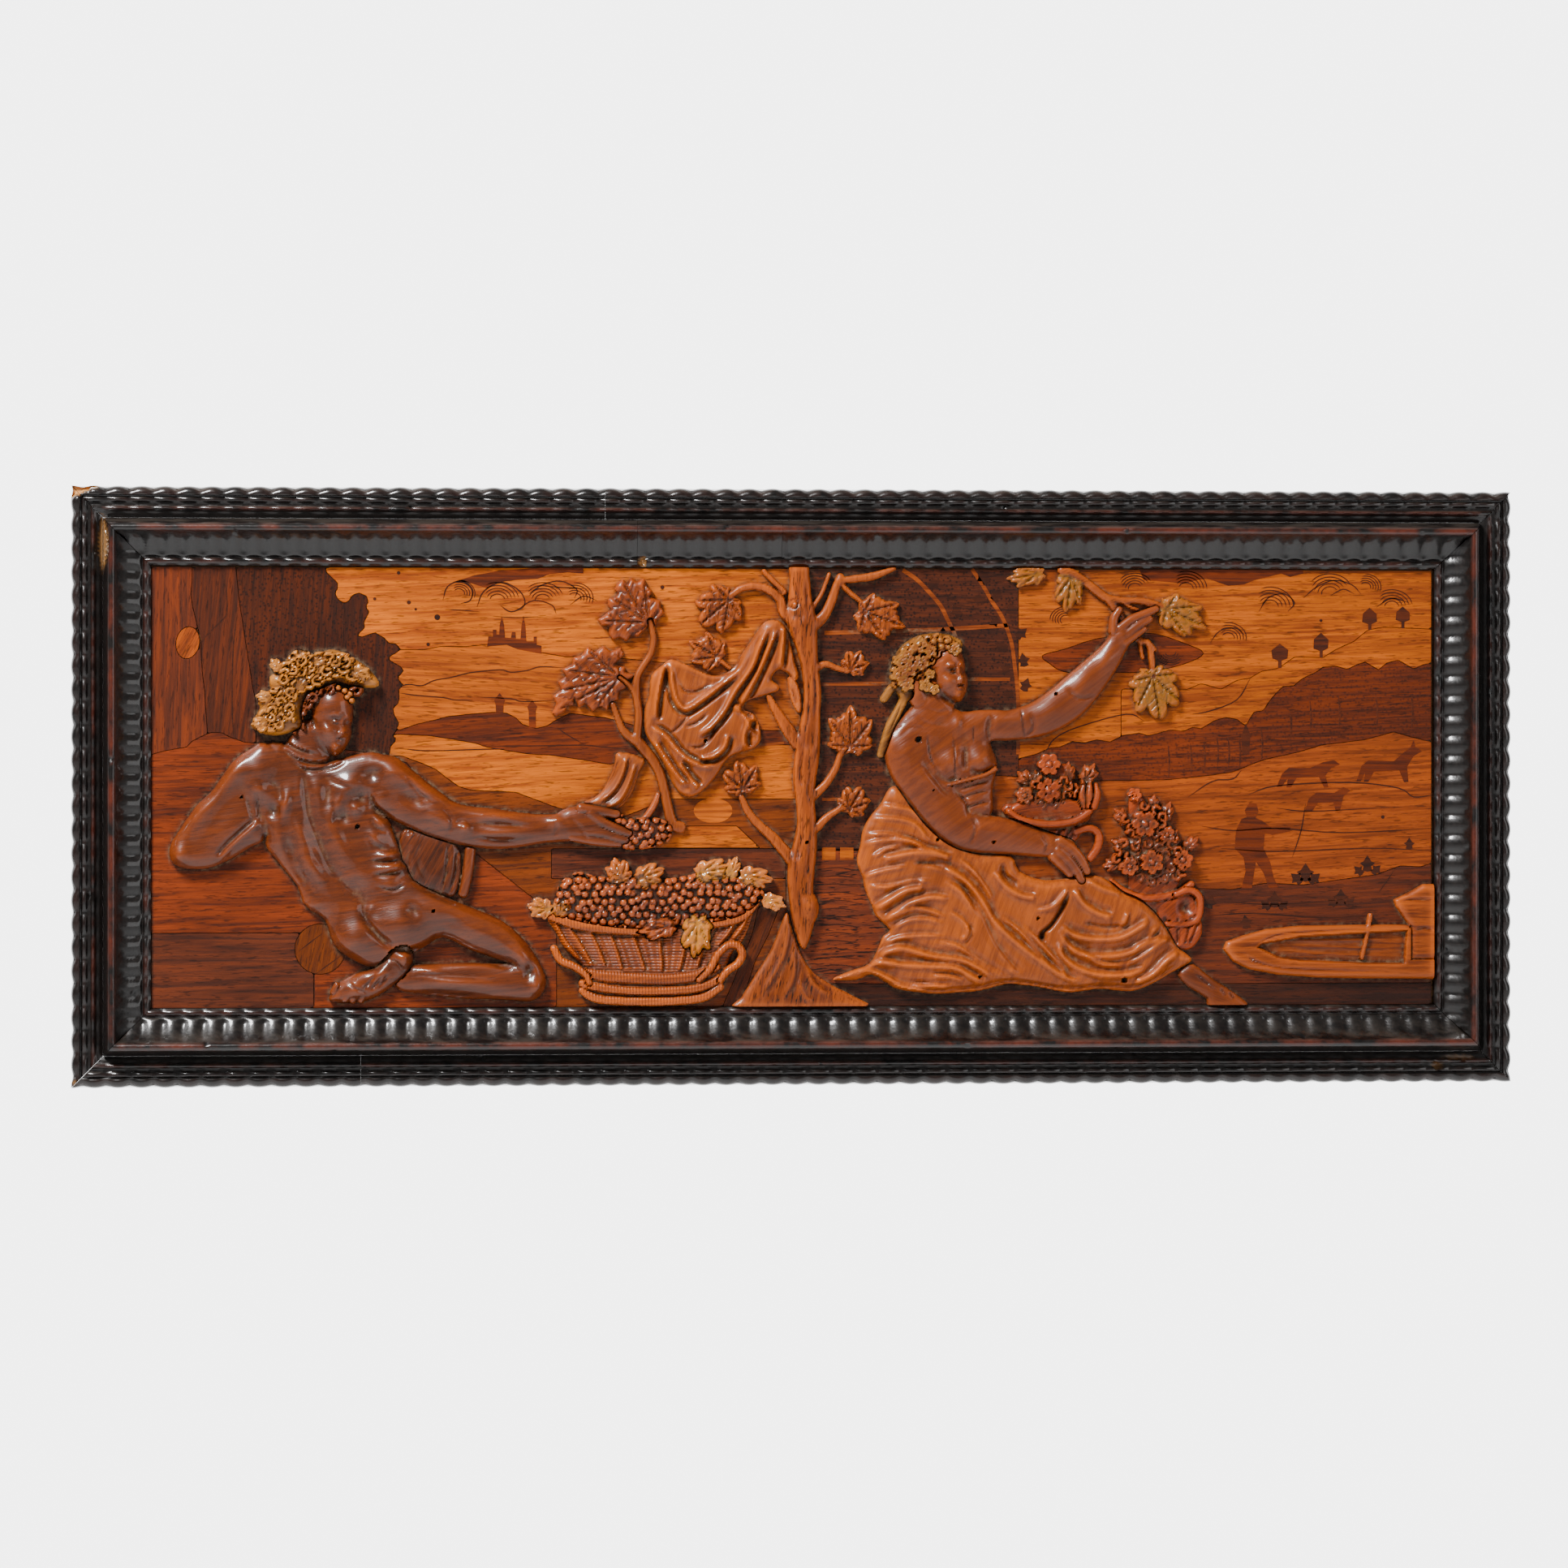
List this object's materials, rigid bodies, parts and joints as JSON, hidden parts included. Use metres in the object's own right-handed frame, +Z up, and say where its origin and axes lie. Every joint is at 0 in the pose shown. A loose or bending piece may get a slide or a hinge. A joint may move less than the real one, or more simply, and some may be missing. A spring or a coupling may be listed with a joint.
{
  "type": "carved wood relief panel",
  "caption": "Long framed wall panel of inlaid and carved wood: a garden scene in low relief inside a black rippled moulding.",
  "frame": {"origin": "middle of the flat back, where the panel meets the wall", "axes": "+X to the right seen from the front, +Y into the wall, +Z up; the picture faces -Y"},
  "size_m": [0.641, 0.024, 0.265],
  "materials": {
    "ebonised": "black stained and polished pear wood, rippled, worn red-brown on its crests",
    "spruce": "bare aged softwood board, dusty",
    "amber": "amber yellow wood, horizontal grain, old varnish",
    "honey": "honey coloured wood with open pores, old varnish",
    "orange": "orange brown burr and root wood, old varnish",
    "russet": "red brown wood, stippled, old varnish",
    "umber": "dark brown wood, straight upright grain",
    "dark": "dark red brown wood, punched ground, glossy",
    "plum": "dark glossy red brown plum wood",
    "pear": "warm mid brown pear wood, polished",
    "cherry": "orange brown cherry wood, dirt in the folds",
    "walnut": "orange brown walnut with dark pores",
    "maple": "pale yellow maple, dirt between the leaves"
  },
  "bodies": {
    "root": {"ground_board": "spruce", "rim_bottom_left": "ebonised", "rim_bottom_right": "ebonised", "rim_right": "ebonised", "rim_top_left": "ebonised", "rim_top_right": "ebonised", "rim_left": "ebonised", "moulding_bottom": "ebonised", "moulding_right": "ebonised", "moulding_top_left": "ebonised", "moulding_top_middle": "ebonised", "moulding_top_right": "ebonised", "moulding_left": "ebonised", "sky_left": "amber", "hill_far_left": "honey", "red_hill_left": "russet", "field_left": "amber", "bank_left": "orange", "trunk_board_outer": "umber", "trunk_board_middle": "umber", "trunk_board_inner": "umber", "cut_branch": "orange", "ground_left": "russet", "dark_corner_left": "dark", "round_repair": "orange", "dark_strip_middle": "dark", "pale_strip_middle": "amber", "slanted_board": "plum", "arbour_ground": "dark", "bank_middle": "umber", "sky_right": "honey", "red_cloud_right": "russet", "hill_right": "honey", "forest": "russet", "field_right": "orange", "near_bank_right": "umber", "front_strip": "dark", "man": "plum", "man_wreath": "maple", "jug": "plum", "vine_leaf_upper": "plum", "vine_leaf_lower": "plum", "vine_shoot": "walnut", "hand_grapes": "pear", "cloth_end": "cherry", "hanging_cloth": "cherry", "tree": "walnut", "tree_leaf": "walnut", "tree_root": "walnut", "basket": "walnut", "basket_grapes": "pear", "woman": "pear", "flower_wreath": "maple", "skirt": "cherry", "woman_foot": "pear", "urn_upper": "russet", "urn_lower": "russet", "raised_branch": "walnut", "low_branch": "walnut", "basin": "walnut"}
  },
  "joints": []
}
